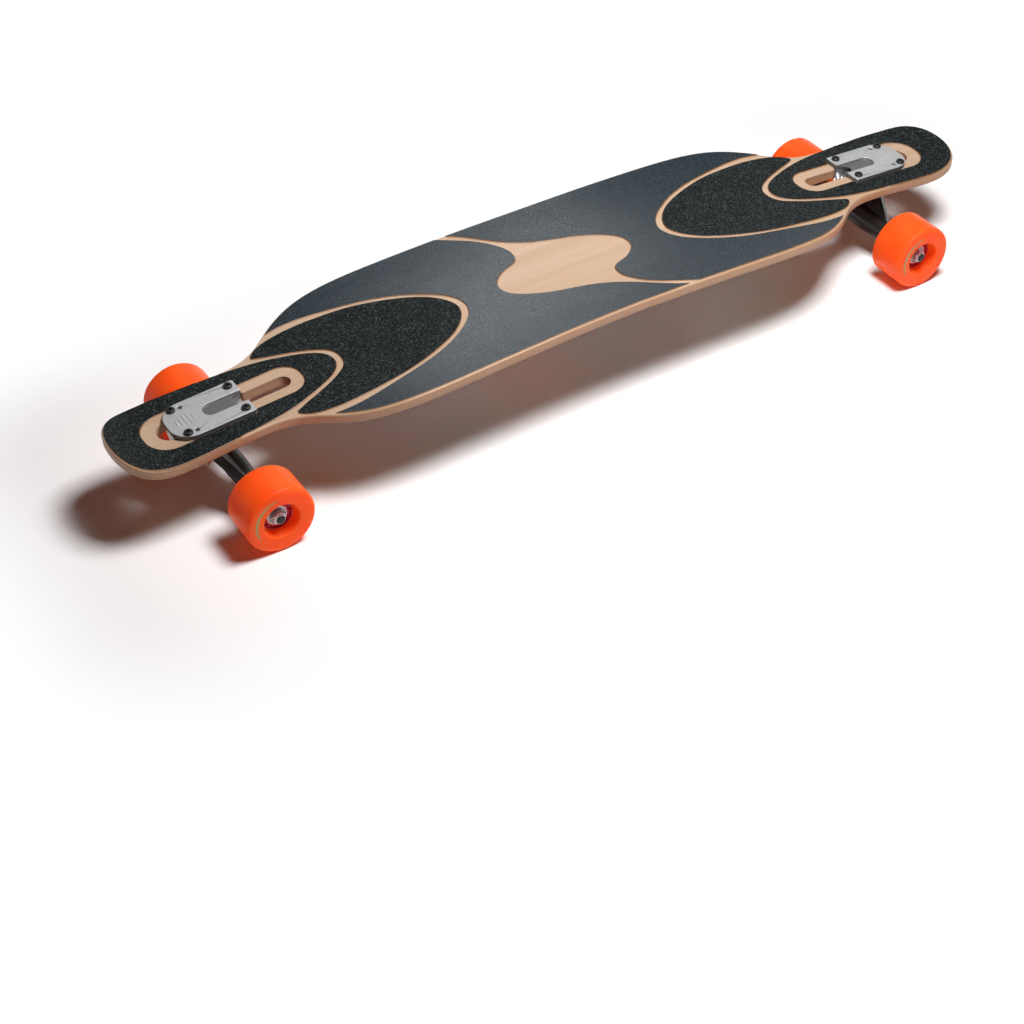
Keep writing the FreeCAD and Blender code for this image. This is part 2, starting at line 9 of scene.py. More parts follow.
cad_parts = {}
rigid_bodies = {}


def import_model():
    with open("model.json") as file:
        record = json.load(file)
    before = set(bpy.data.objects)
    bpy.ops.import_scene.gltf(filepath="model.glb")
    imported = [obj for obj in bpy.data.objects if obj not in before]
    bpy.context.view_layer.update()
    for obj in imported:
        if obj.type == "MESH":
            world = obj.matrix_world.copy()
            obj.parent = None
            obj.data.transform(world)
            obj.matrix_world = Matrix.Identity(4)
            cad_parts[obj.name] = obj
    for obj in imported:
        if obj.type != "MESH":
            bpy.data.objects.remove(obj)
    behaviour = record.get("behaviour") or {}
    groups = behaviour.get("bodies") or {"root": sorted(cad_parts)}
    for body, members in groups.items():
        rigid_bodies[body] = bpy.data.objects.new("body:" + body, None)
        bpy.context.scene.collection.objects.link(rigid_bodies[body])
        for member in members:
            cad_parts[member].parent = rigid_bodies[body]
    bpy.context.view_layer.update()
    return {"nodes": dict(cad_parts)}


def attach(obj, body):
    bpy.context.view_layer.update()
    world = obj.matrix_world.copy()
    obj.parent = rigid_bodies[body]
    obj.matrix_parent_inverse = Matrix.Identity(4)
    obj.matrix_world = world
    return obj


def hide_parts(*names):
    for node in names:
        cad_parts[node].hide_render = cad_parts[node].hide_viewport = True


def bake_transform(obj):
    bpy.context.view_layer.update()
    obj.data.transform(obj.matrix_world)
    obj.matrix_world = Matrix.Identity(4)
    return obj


for leftover in list(bpy.data.objects):
    bpy.data.objects.remove(leftover, do_unlink=True)

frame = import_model()
nodes = frame["nodes"]

# Sizes repeated from the part's source, in millimetres
MM = 0.001
HALF_LENGTH, HALF_WIDTH = 533.0, 112.5
TRUCK_X = 0.7974 * HALF_LENGTH
SEAT_TILT = math.radians(3.5)
AXLE_OUT, AXLE_DROP, WHEEL_RADIUS = -8.7, 59.1, 37.5
SEAT_HEIGHT = WHEEL_RADIUS + AXLE_OUT * math.sin(SEAT_TILT) + AXLE_DROP * math.cos(SEAT_TILT)
PIVOT = math.radians(50.0)
PIVOT_DIR = Vector((math.cos(PIVOT), 0, math.sin(PIVOT)))
KINGPIN_UP = Vector((-math.sin(PIVOT), 0, math.cos(PIVOT)))
AXLE_POINT = Vector((AXLE_OUT, 0, -AXLE_DROP))
RING_CENTRE = AXLE_POINT + PIVOT_DIR * 26.0
DECK_THICKNESS = 11.0
BED_GAP = 0.5
DECK_DROP = (DECK_THICKNESS + BED_GAP) * math.cos(SEAT_TILT)
PLATE_TOP = 5.0
PLATE_INNER_END, PLATE_OUTER_END, PLATE_HALF_WIDTH, PLATE_CORNER = -40.0, 45.5, 28.5, 23.0
RECESS_HALF, RECESS_END = 9.5, 6.0
CAMBER_REACH = TRUCK_X + PLATE_INNER_END - 13.0
CAMBER_BULGE = 5.0
KICK_START = TRUCK_X + PLATE_OUTER_END + 9.5
KICK_RISE = 11.6
CONCAVE_RISE, CONCAVE_FADE = 7.0, 120.0
PROFILE_SLOPE = math.tan(SEAT_TILT)
BOLT_X, BOLT_Y = 63.5 / 2, 41.3 / 2
WHEEL_MIDDLE = 99.5
RING_SEAT = 3.5
BOARDSIDE_HEIGHT, ROADSIDE_HEIGHT = 16.0, 9.5
WASHER = 2.0
ENDS = ("front", "rear")


def truck_matrix(end):
    # From the truck's own millimetres to the shared frame in metres.
    turn = Matrix.Rotation(0 if end == "front" else math.pi, 4, "Z")
    place = Matrix.Translation(Vector((TRUCK_X, 0, SEAT_HEIGHT)) * MM)
    return turn @ place @ Matrix.Rotation(SEAT_TILT, 4, "Y") @ Matrix.Scale(MM, 4)


# Node building blocks, for materials and the world
class Nodes:
    def __init__(self, owner):
        owner.use_nodes = True
        self.tree = owner.node_tree
        self.tree.nodes.clear()

    def node(self, kind, inputs, out=0, **settings):
        made = self.tree.nodes.new(kind)
        for key, value in settings.items():
            setattr(made, key, value)
        for key, value in inputs.items():
            if isinstance(value, bpy.types.NodeSocket):
                self.tree.links.new(value, made.inputs[key])
            else:
                made.inputs[key].default_value = value
        return made.outputs[out]

    def noise(self, vector, scale, detail, rough):
        return self.node("ShaderNodeTexNoise", {
            "Vector": vector, "Scale": scale, "Detail": detail, "Roughness": rough}, "Fac")

    def cells(self, vector, scale, out="Distance"):
        return self.node("ShaderNodeTexVoronoi", {"Vector": vector, "Scale": scale}, out)

    def math(self, operation, a, b=0.0, clamp=False):
        return self.node("ShaderNodeMath", {0: a, 1: b}, operation=operation, use_clamp=clamp)

    def span(self, value, low, high, to_low=0.0, to_high=1.0, smooth=False):
        kind = "SMOOTHSTEP" if smooth else "LINEAR"
        return self.node("ShaderNodeMapRange", {
            "Value": value, "From Min": low, "From Max": high, "To Min": to_low, "To Max": to_high},
            interpolation_type=kind, clamp=True)

    def mix(self, factor, a, b, blend="MIX"):
        return self.node("ShaderNodeMix", {0: factor, 6: a, 7: b}, 2, data_type="RGBA", blend_type=blend)

    def ramp(self, value, stops):
        made = self.tree.nodes.new("ShaderNodeValToRGB")
        points = made.color_ramp.elements
        while len(points) < len(stops):
            points.new(0.5)
        for point, (position, colour) in zip(points, stops):
            point.position = position
            point.color = rgb(colour)
        self.tree.links.new(value, made.inputs[0])
        return made.outputs[0]

    def split(self, vector):
        made = self.tree.nodes.new("ShaderNodeSeparateXYZ")
        self.tree.links.new(vector, made.inputs[0])
        return made.outputs

    def bump(self, height, strength, distance):
        return self.node("ShaderNodeBump", {"Height": height, "Strength": strength, "Distance": distance})

    def seen(self):
        # One for the rays that reach the lens, straight or by way of a mirror or glass.
        rays = self.tree.nodes.new("ShaderNodeLightPath").outputs
        total = self.math("ADD", rays["Is Camera Ray"], rays["Is Glossy Ray"])
        return self.math("ADD", total, rays["Is Transmission Ray"], True)

    def output(self, kind, shader):
        self.tree.links.new(shader, self.tree.nodes.new(kind).inputs["Surface"])


class Look(Nodes):
    def __init__(self, name):
        self.material = bpy.data.materials.new(name)
        super().__init__(self.material)
        self.place = self.node("ShaderNodeTexCoord", {}, "Object")

    def stretch(self, scale):
        return self.node("ShaderNodeMapping", {"Vector": self.place, "Scale": scale})

    def surface(self, shader):
        self.output("ShaderNodeOutputMaterial", shader)
        return self.material

    def finish(self, **inputs):
        named = {key.replace("_", " "): value for key, value in inputs.items()}
        return self.surface(self.node("ShaderNodeBsdfPrincipled", named))


def rgb(colour):
    return (*colour, 1.0)


# Materials: wood
TOP_WOOD = ((0.56, 0.40, 0.285), (0.44, 0.29, 0.185))
LOW_WOOD = ((0.60, 0.33, 0.135), (0.36, 0.165, 0.055))
# Ply and glue-line colours down the deck's edge, top to bottom; the plies also darken towards the bottom as
# painted shade.
PLY_TONES_AND_SHADE = ((0.0, (0.60, 0.39, 0.24)), (0.10, (0.50, 0.28, 0.15)), (0.13, (0.57, 0.35, 0.21)),
         (0.34, (0.53, 0.30, 0.18)), (0.37, (0.39, 0.19, 0.10)), (0.40, (0.56, 0.34, 0.20)),
         (0.60, (0.55, 0.32, 0.18)), (0.63, (0.38, 0.18, 0.09)), (0.66, (0.53, 0.30, 0.17)),
         (0.87, (0.50, 0.28, 0.15)), (0.90, (0.34, 0.17, 0.08)), (0.93, (0.45, 0.23, 0.11)))


def bamboo_look():
    m = Look("bamboo_deck_finish")
    axes = m.split(m.place)
    strip = m.math("FLOOR", m.math("MULTIPLY", axes[1], 1 / 0.021))
    lot = m.node("ShaderNodeTexWhiteNoise", {"W": strip}, "Value", noise_dimensions="1D")
    fibre = m.noise(m.stretch((9, 700, 700)), 1.0, 4, 0.6)
    streak = m.noise(m.stretch((2.2, 85, 85)), 1.0, 3, 0.55)
    broad = m.noise(m.stretch((1.2, 14, 14)), 1.0, 2, 0.5)
    tone = m.math("ADD", m.math("MULTIPLY", fibre, 0.35), m.math("MULTIPLY", streak, 0.45))
    tone = m.math("ADD", tone, m.math("MULTIPLY", lot, 0.22))
    strip_shift = m.math("MULTIPLY", lot, 7.3)
    knuckle_place = m.math("FRACT", m.math("ADD", m.math("MULTIPLY", axes[0], 1 / 0.27), strip_shift))
    knuckle = m.span(m.math("ABSOLUTE", m.math("SUBTRACT", knuckle_place, 0.5)), 0.0, 0.012, 1.0, 0.0, True)
    top = m.ramp(tone, ((0.28, TOP_WOOD[1]), (0.72, TOP_WOOD[0])))
    top = m.mix(m.math("MULTIPLY", knuckle, 0.35), top, rgb((0.50, 0.30, 0.16)))
    # Painted shade: the wood's top under each base plate is made almost black, as shade where it shows
    # through the plate's holes.
    past_truck = m.math("ABSOLUTE", m.math("SUBTRACT", m.math("ABSOLUTE", axes[0]), (TRUCK_X - 3) * MM))
    painted_plate_shade = m.math("MULTIPLY", m.span(past_truck, 0.032, 0.033, 1.0, 0.0),
                     m.span(m.math("ABSOLUTE", axes[1]), 0.024, 0.025, 1.0, 0.0))
    top = m.mix(m.math("MULTIPLY", painted_plate_shade, 0.92), top, rgb((0.03, 0.02, 0.014)))
    low_tone = m.math("ADD", m.math("MULTIPLY", fibre, 0.3), m.math("MULTIPLY", streak, 0.5))
    low_tone = m.math("ADD", low_tone, m.math("MULTIPLY", broad, 0.25))
    low = m.ramp(low_tone, ((0.36, LOW_WOOD[1]), (0.52, (0.50, 0.26, 0.10)), (0.70, LOW_WOOD[0])))
    depth = m.node("ShaderNodeAttribute", {}, "Fac", attribute_name="depth")
    wobble = m.math("MULTIPLY", m.math("SUBTRACT", streak, 0.5), 0.02)
    share = m.math("ADD", m.math("MULTIPLY", depth, 1000 / DECK_THICKNESS), wobble)
    ply = m.ramp(share, PLY_TONES_AND_SHADE)
    end_grain = m.noise(m.stretch((900, 900, 160)), 1.0, 2, 0.6)
    ply = m.mix(m.math("MULTIPLY", end_grain, 0.5), ply, rgb((0.42, 0.25, 0.15)), "MULTIPLY")
    body = m.mix(m.span(depth, 0.0004, 0.0009), top, ply)
    base = m.mix(m.span(depth, 0.0102, 0.0106), body, low)
    rough = m.span(tone, 0.2, 0.8, 0.50, 0.36)
    return m.finish(Base_Color=base, Roughness=rough, Coat_Weight=0.12, Coat_Roughness=0.25,
                    Normal=m.bump(m.math("ADD", fibre, streak), 0.12, 0.0004))


def grit_look(name, ground, speck, cell, power, rough, relief, shine):
    # Glued grit: each grain its own tone, most of them dark; the few pale grains are painted glints.
    m = Look(name)
    grain = m.split(m.cells(m.place, cell, "Color"))
    painted_glint = m.math("POWER", grain[0], power)
    cloud = m.noise(m.place, 60, 3, 0.6)
    base = m.mix(painted_glint, rgb(ground), rgb(speck))
    base = m.mix(m.span(cloud, 0.3, 0.7, 0.0, 0.22), base, rgb(tuple(0.45 * c for c in ground)))
    height = m.cells(m.place, cell * 0.8)
    fine = m.noise(m.place, cell * 2.2, 2, 0.6)
    normal = m.bump(m.math("ADD", height, m.math("MULTIPLY", fine, 0.5)), relief, 0.0006)
    roughness = m.span(grain[1], 0.0, 1.0, rough - 0.16, rough + 0.16)
    return m.finish(Base_Color=base, Roughness=roughness, Specular_IOR_Level=shine, Normal=normal)


# Materials: metal
def metal_look(name, colour, rough, brushed=0.0, dark=0.75, relief=0.05, metallic=1.0, grain=180, coat=0.0,
               painted_shade_amount=0.0):
    m = Look(name)
    cloud = m.noise(m.place, 70, 4, 0.6)
    lines = m.noise(m.stretch((grain * 0.12, grain * 6, grain * 6)), 1.0, 3, 0.6)
    pits = m.cells(m.place, grain * 7)
    mark = m.math("ADD", m.math("MULTIPLY", cloud, 1 - brushed), m.math("MULTIPLY", lines, brushed))
    base = m.mix(m.span(mark, 0.3, 0.75), rgb(tuple(dark * c for c in colour)), rgb(colour))
    # Painted shade: points marked in the point attribute read here darken towards 0.12 of the colour.
    if painted_shade_amount:
        painted_shade_mask = m.node("ShaderNodeAttribute", {}, "Fac", attribute_name="painted_shade_mask")
        base = m.mix(m.math("MULTIPLY", painted_shade_mask, painted_shade_amount), base, rgb(tuple(0.12 * c for c in colour)))
    roughness = m.span(mark, 0.25, 0.75, rough + 0.1, rough - 0.05)
    height = m.math("ADD", mark, m.math("MULTIPLY", pits, 0.4))
    return m.finish(Base_Color=base, Metallic=metallic, Roughness=roughness, Coat_Weight=coat,
                    Coat_Roughness=0.08, Normal=m.bump(height, relief, 0.0003))


# Materials: moulded plastics, urethane and printed ink
# Painted glow: the orange urethane gives off these colours as emission, glowing though it is no lamp.
GLOW_PAINT, GLOW_PAINT_DEEP = (1.0, 0.045, 0.004), (0.94, 0.035, 0.003)


def moulded_look(name, colour, shade, rough, soft=0.0, relief=0.04, depth=0.006, shine=0.5, painted_glow=0.0):
    m = Look(name)
    cloud = m.noise(m.place, 38, 3, 0.55)
    fine = m.noise(m.place, 900, 2, 0.6)
    scuff = m.noise(m.place, 160, 5, 0.75)
    base = m.mix(m.span(cloud, 0.3, 0.7), rgb(shade), rgb(colour))
    roughness = m.span(scuff, 0.35, 0.7, rough - 0.07, rough + 0.1)
    return m.finish(Base_Color=base, Roughness=roughness, Subsurface_Weight=soft, Specular_IOR_Level=shine,
                    Subsurface_Radius=(1.0, 0.14, 0.04), Subsurface_Scale=depth,
                    Emission_Color=m.mix(cloud, rgb(GLOW_PAINT), rgb(GLOW_PAINT_DEEP)), Emission_Strength=painted_glow,
                    Normal=m.bump(m.math("ADD", fine, scuff), relief, 0.0002))


def ink_look(name, colour):
    # Screen-printed ink: the wood's fibres show through it as faint lines.
    m = Look(name)
    fibre = m.noise(m.stretch((8, 520, 520)), 1.0, 4, 0.6)
    worn = m.noise(m.stretch((30, 120, 120)), 1.0, 5, 0.7)
    thin = m.span(fibre, 0.36, 0.62, 0.16, 0.0)
    base = m.mix(thin, rgb(colour), rgb(tuple(0.55 * c + 0.1 for c in colour)))
    return m.finish(Base_Color=base, Roughness=m.span(worn, 0.3, 0.7, 0.34, 0.48), Coat_Weight=0.1,
                    Coat_Roughness=0.25, Normal=m.bump(fibre, 0.06, 0.0003))


looks = {
    "bamboo_deck": bamboo_look(),
    "coarse_grip": grit_look(
        "coarse_grip_finish",
        (0.0025, 0.0036, 0.0040), (0.075, 0.095, 0.095), 950, 6.0, 0.60, 0.5, 0.14),
    "fine_grip": grit_look(
        "fine_grip_finish",
        (0.0022, 0.0076, 0.0120), (0.036, 0.064, 0.084), 1500, 3.2, 0.27, 0.07, 1.0),
    # The base plates' raw alloy darkens its marked recess and side walls as painted shade.
    "raw_alloy": metal_look("raw_alloy_finish", (0.68, 0.69, 0.70), 0.40, 0.45, 0.72, 0.10, 0.50, painted_shade_amount=0.8),
    "black_alloy": metal_look(
        "black_alloy_finish", (0.009, 0.009, 0.010), 0.34, 0.0, 0.8, 0.012, 0.0, 120, 0.12),
    "zinc_steel": metal_look("zinc_steel_finish", (0.68, 0.68, 0.69), 0.26, 0.3, 0.8, 0.05),
    "black_steel": metal_look("black_steel_finish", (0.025, 0.025, 0.027), 0.36, 0.0, 0.6, 0.06, 0.35, 200),
    "bearing_steel": metal_look("bearing_steel_finish", (0.74, 0.74, 0.76), 0.2, 0.2, 0.85, 0.03),
    "red_urethane": moulded_look(
        "red_urethane_finish", (0.72, 0.022, 0.010), (0.62, 0.016, 0.008), 0.38, 0.1),
    "cup_urethane": moulded_look("cup_urethane_finish", (0.03, 0.03, 0.032), (0.02, 0.02, 0.021), 0.5),
    # The orange urethane's last number is the strength of its painted glow.
    "orange_urethane": moulded_look(
        "orange_urethane_finish",
        (1.0, 0.112, 0.012), (0.98, 0.092, 0.009), 0.40, 0.9, 0.05, 0.022, 0.16, 0.13),
    "core_plastic": moulded_look("core_plastic_finish", (0.58, 0.006, 0.036), (0.47, 0.005, 0.028), 0.3),
}
insert_look = moulded_look("lock_insert_nylon", (0.10, 0.10, 0.105), (0.07, 0.07, 0.072), 0.45)
# Painted shade: a dark brown strip laid along the grip sheets' edges, where contact shade falls.
edge_shade_look = moulded_look("grip_edge_seal", (0.30, 0.15, 0.065), (0.22, 0.10, 0.04), 0.5)
gold_ink = ink_look("wheel_print_ink", (0.44, 0.27, 0.05))
axle_look = metal_look("axle_steel_finish", (0.045, 0.044, 0.046), 0.30, 0.3, 0.7)
shield_look = metal_look("bearing_shield_finish", (0.27, 0.25, 0.26), 0.24, 0.2, 0.8)


# Mesh building blocks
def piece(name, verts, faces, slot, body=None, stands_for=(), sharp=32.0, finish=None, indices=None):
    mesh = bpy.data.meshes.new(name)
    mesh.from_pydata([tuple(v) for v in verts], [], faces)
    mesh.validate()
    return dress(name, mesh, slot, body, stands_for, sharp, finish, indices)


def dress(name, mesh, slot, body=None, stands_for=(), sharp=32.0, finish=None, indices=None):
    made = bpy.data.objects.new(name, mesh)
    bpy.context.scene.collection.objects.link(made)
    for look in finish or [looks[slot]]:
        mesh.materials.append(look)
    if indices:
        mesh.polygons.foreach_set("material_index", indices)
    tidy = bmesh.new()
    tidy.from_mesh(mesh)
    bmesh.ops.recalc_face_normals(tidy, faces=tidy.faces)
    tidy.to_mesh(mesh)
    tidy.free()
    mesh.shade_smooth()
    mesh.set_sharp_from_angle(angle=math.radians(sharp))
    if stands_for:
        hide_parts(*stands_for)
    if body:
        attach(made, body)
    return made


def rounded(points, steps=5):
    # A closed section from (along, radius, corner radius) points, each corner turned into a short arc.
    section = []
    count = len(points)
    for i, (along, radius, corner) in enumerate(points):
        here = Vector((along, radius))
        back = Vector(points[i - 1][:2]) - here
        ahead = Vector(points[(i + 1) % count][:2]) - here
        if corner <= 0:
            section.append(here)
            continue
        half = back.angle(ahead) / 2
        reach = min(corner / math.tan(half), 0.49 * back.length, 0.49 * ahead.length)
        size = reach * math.tan(half)
        centre = here + (back.normalized() + ahead.normalized()).normalized() * (size / math.sin(half))
        first = (here + back.normalized() * reach - centre).normalized()
        last = (here + ahead.normalized() * reach - centre).normalized()
        for k in range(steps + 1):
            section.append(centre + first.slerp(last, k / steps).normalized() * size)
    return section


def axis_frame(origin, axis):
    along = axis.normalized()
    side = Vector((1, 0, 0)) if abs(along.x) < 0.6 else Vector((0, 1, 0))
    across = along.cross(side).normalized()
    return origin, along, across, along.cross(across)


def turned(section, placing, count):
    # A ring solid: the closed section swept round the axis. Returns its points and faces.
    origin, along, across, other = placing
    verts = []
    for step in range(count):
        turn = 2 * math.pi * step / count
        out = across * math.cos(turn) + other * math.sin(turn)
        verts += [origin + along * p[0] + out * p[1] for p in section]
    rows = len(section)
    faces = []
    for step in range(count):
        ahead = (step + 1) % count
        for i in range(rows):
            j = (i + 1) % rows
            faces.append([step * rows + i, ahead * rows + i, ahead * rows + j, step * rows + j])
    return verts, faces


class Batch:
    # Several solids gathered into one piece.
    def __init__(self):
        self.verts, self.faces, self.indices = [], [], []

    def add(self, verts, faces, kinds=None):
        start = len(self.verts)
        self.verts += list(verts)
        self.faces += [[start + i for i in f] for f in faces]
        self.indices += kinds or [0] * len(faces)

    def ring(self, section, placing, count, kinds=None):
        verts, faces = turned(section, placing, count)
        self.add(verts, faces, kinds and kinds * count)

    def piece(self, name, slot, body=None, stands_for=(), sharp=32.0, finish=None):
        return piece(name, self.verts, self.faces, slot, body, stands_for, sharp, finish, self.indices)


def lock_nut(batch, sizes, placing):
    # A lock nut: chamfered hexagon, round collar and the insert's ring inside it.
    flats, height, bore = (size * MM for size in sizes)
    origin, along, across, other = placing
    rows = [(0.0, bore), (0.0, 0.47 * flats), (0.05, 0.508 * flats), (0.14, 0.60 * flats),
            (0.60, 0.60 * flats), (0.70, 0.508 * flats), (0.72, 0.47 * flats), (0.93, 0.455 * flats),
            (0.98, 0.43 * flats), (1.0, 0.40 * flats), (0.99, 0.5 * (bore + 0.40 * flats)), (0.95, bore)]
    insert_rows = (9, 10, 11)
    high = len(rows)
    count = 96
    verts = []
    for step in range(count):
        turn = 2 * math.pi * step / count
        out = across * math.cos(turn) + other * math.sin(turn)
        wedge = (turn % (math.pi / 3)) - math.pi / 6
        hexagon = flats / 2 / math.cos(wedge)
        verts += [origin + along * (h * height) + out * min(limit, hexagon) for h, limit in rows]
    faces = []
    kinds = []
    for step in range(count):
        ahead = (step + 1) % count
        for i in range(high):
            j = (i + 1) % high
            faces.append([step * high + i, ahead * high + i, ahead * high + j, step * high + j])
            kinds.append(1 if i in insert_rows else 0)
    batch.add(verts, faces, kinds)


def threaded(radius, low, high, pitch, depth):
    # The outline of a threaded length as a row of crests and roots.
    section = []
    count = max(1, int((high - low) / pitch))
    for i in range(count):
        section.append(Vector((low + i * pitch, radius - depth)))
        section.append(Vector((low + (i + 0.5) * pitch, radius)))
    return section


def from_node(node, modifiers):
    # A copy of a CAD node's mesh with modifiers worked into it.
    source = nodes[node]
    work = bpy.data.objects.new("work", source.data.copy())
    bpy.context.scene.collection.objects.link(work)
    for kind, settings in modifiers:
        made = work.modifiers.new(kind, kind)
        for key, value in settings.items():
            setattr(made, key, value)
    graph = bpy.context.evaluated_depsgraph_get()
    mesh = bpy.data.meshes.new_from_object(work.evaluated_get(graph))
    bpy.data.objects.remove(work, do_unlink=True)
    mesh.materials.clear()
    return mesh


# Deck: how deep each point lies under the top face, for the plies along the edge
deck = nodes["deck"]


def top_finder():
    source = bmesh.new()
    source.from_mesh(deck.data)
    tree = BVHTree.FromBMesh(source)
    source.free()
    return tree


deck_tree = top_finder()


def top_height(x, y):
    # The height of the deck's top face, in millimetres.
    reach = abs(x)
    height = SEAT_HEIGHT - BED_GAP - PROFILE_SLOPE * (reach - TRUCK_X)
    if reach < CAMBER_REACH:
        rest = 1 - (reach / CAMBER_REACH) ** 2
        height = SEAT_HEIGHT - BED_GAP - PROFILE_SLOPE * (CAMBER_REACH - TRUCK_X)
        height += PROFILE_SLOPE * CAMBER_REACH / 2 * rest + CAMBER_BULGE * rest ** 2
    if reach > KICK_START:
        height += KICK_RISE * ((reach - KICK_START) / (HALF_LENGTH - KICK_START)) ** 2
    share = max(0.0, min(1.0, (CAMBER_REACH - reach) / CONCAVE_FADE))
    return height + CONCAVE_RISE * share * share * (3 - 2 * share) * (y / HALF_WIDTH) ** 2


depth_layer = deck.data.attributes.new("depth", "FLOAT", "POINT")
depth_values = []
for vertex in deck.data.vertices:
    top = top_height(vertex.co.x / MM, vertex.co.y / MM) * MM
    depth_values.append(top - vertex.co.z)
depth_layer.data.foreach_set("value", depth_values)

# Every CAD node takes its slot's finish
for made in nodes.values():
    slot = made.data.materials[0].name.split(".")[0]
    made.data.materials.clear()
    made.data.materials.append(looks[slot])

# Wheels
RIB_COUNT, RIB_RADIUS, RIB_FOOT, RIB_SIZE = 10, 14.15, 9.2, (3.0, 1.5, 2.2)
BEARING_PLACE, SHIELD_SPAN = 8.5, (6.95, 9.75)
ARC_START, ARC_TURN, ARC_RADIUS, ARC_HALF_WIDTH, ARC_FACE = 92, 118, 27.6, 1.7, 22.96
TYRE = rounded([
    (-23.0, 31.2, 0.0), (-23.0, 37.5, 6.4), (23.0, 37.5, 6.4), (22.9, 28.5, 0.0), (22.9, 19.9, 1.6),
    (12.2, 17.9, 0.8), (12.0, 17.05, 0.0), (-12.0, 17.05, 0.0), (-12.2, 17.9, 0.8), (-22.9, 19.9, 1.6)], 8)
CORE = rounded([
    (-11.9, 11.1, 0.4), (-11.9, 12.6, 0.4), (-9.4, 12.9, 0.3), (-9.4, 15.4, 0.3), (-11.9, 15.7, 0.4),
    (-11.9, 16.95, 0.3), (11.9, 16.95, 0.3), (11.9, 15.7, 0.4), (9.4, 15.4, 0.3), (9.4, 12.9, 0.3),
    (11.9, 12.6, 0.4), (11.9, 11.1, 0.4), (5.1, 11.1, 0.0), (5.0, 9.7, 0.2), (-5.0, 9.7, 0.2),
    (-5.1, 11.1, 0.0)], 3)
RACE = rounded([
    (-3.45, 9.95, 0.2), (-3.45, 10.95, 0.45), (3.45, 10.95, 0.45), (3.45, 9.95, 0.2), (2.6, 9.7, 0.1),
    (2.6, 9.0, 0.1), (3.0, 8.6, 0.2), (3.0, 7.2, 0.2), (2.7, 6.9, 0.2), (2.7, 6.4, 0.1), (-2.7, 6.4, 0.1),
    (-2.7, 6.9, 0.2), (-3.0, 7.2, 0.2), (-3.0, 8.6, 0.2), (-2.6, 9.0, 0.1), (-2.6, 9.7, 0.1)], 3)


def bar_points(length, width, rise, count=12):
    # A low rounded bar along the first axis, its top a flattened half round with round ends.
    verts, faces = [], []
    stations = []
    half = width / 2
    for k in range(count + 1):
        turn = math.pi / 2 * k / count
        stations.append((-length / 2 + half - half * math.cos(turn), half * math.sin(turn)))
    stations += [(-x, w) for x, w in reversed(stations)]
    across = 9
    for x, w in stations:
        for j in range(across):
            turn = math.pi * j / (across - 1)
            height = rise * math.sin(turn) * (w / half) ** 0.5 if w > 0 else 0.0
            verts.append(Vector((x, -w * math.cos(turn), height)))
    for i in range(len(stations) - 1):
        for j in range(across - 1):
            a = i * across + j
            faces.append([a, a + 1, a + across + 1, a + across])
    return verts, faces


def wheel_pieces(end, hand, side):
    body = end + "_" + hand + "_wheel"
    label = end + "_" + hand
    turn = truck_matrix(end)
    middle = turn @ AXLE_POINT
    middle.y = side * WHEEL_MIDDLE * MM
    along = Vector((0, side, 0))
    placing = axis_frame(middle, along)

    def sized(section):
        return [p * MM for p in section]
    tyre = Batch()
    tyre.ring(sized(TYRE), placing, 160)
    tyre.piece(label + "_tyre_casting", "orange_urethane", body, [label + "_tyre"])
    core = Batch()
    core.ring(sized(CORE), placing, 120)
    for face in (-1, 1):
        for k in range(RIB_COUNT):
            angle = 2 * math.pi * (k + 0.5) / RIB_COUNT
            out = placing[2] * math.cos(angle) + placing[3] * math.sin(angle)
            flat = placing[1].cross(out)
            base = middle + along * (face * RIB_FOOT * MM) + out * (RIB_RADIUS * MM)
            verts, faces = bar_points(*RIB_SIZE, 6)
            core.add([base + (out * v.x + flat * v.y + along * (face * v.z)) * MM for v in verts], faces)
    core.piece(label + "_core_moulding", "core_plastic", body, [label + "_core"])
    races = Batch()
    shield_low, shield_high = SHIELD_SPAN
    kinds = [int(shield_low < (a.y + b.y) / 2 < shield_high) for a, b in zip(RACE, RACE[1:] + RACE[:1])]
    for place in (-BEARING_PLACE, BEARING_PLACE):
        races.ring(sized(RACE), axis_frame(middle + along * (place * MM), along), 96, kinds)
    races.piece(label + "_bearing_shields", "bearing_steel", body, [label + "_outer_races"],
                finish=[looks["bearing_steel"], shield_look])
    print_verts, print_faces = [], []
    steps = 64
    for k in range(steps + 1):
        share = k / steps
        angle = math.radians(ARC_START + ARC_TURN * share)
        wide = ARC_HALF_WIDTH * math.sin(math.pi * share) ** 0.5
        out = Vector((math.cos(angle), 0, math.sin(angle)))
        for radius in (ARC_RADIUS - wide, ARC_RADIUS, ARC_RADIUS + wide):
            print_verts.append(middle + along * (ARC_FACE * MM) + out * (radius * MM))
    for k in range(steps):
        a = 3 * k
        print_faces += [[a, a + 1, a + 4, a + 3], [a + 1, a + 2, a + 5, a + 4]]
    piece(label + "_tyre_print", print_verts, print_faces, "orange_urethane", body, finish=[gold_ink])


# Trucks: each nut as width over flats, height and bore
KINGPIN_NUT, AXLE_NUT, DECK_NUT = (14.3, 9.0, 4.78), (12.7, 6.48, 4.03), (8.0, 5.88, 2.43)
AXLE_NUT_SEAT = 112.52
KINGPIN_BORE, CUP_RADIUS = 4.9, 11.9
BUSHING_END, BUSHING_SHOULDER, BUSHING_MIDDLE = 11.2, 12.1, 12.45
AXLE_RADIUS, AXLE_END, THREAD_START, THREAD_END = 4.0, 120.6, 112.5, 119.9
THREAD_PITCH, THREAD_DEPTH = 1.2, 0.35
PLATE_BARS = ((9.0, 17.0), (15.0, 21.5), (19.0, 26.0), (15.0, 30.5), (9.0, 35.0))
BAR_WIDTH, BAR_RISE = 2.0, 0.55
SEAT_SLIP = 0.02


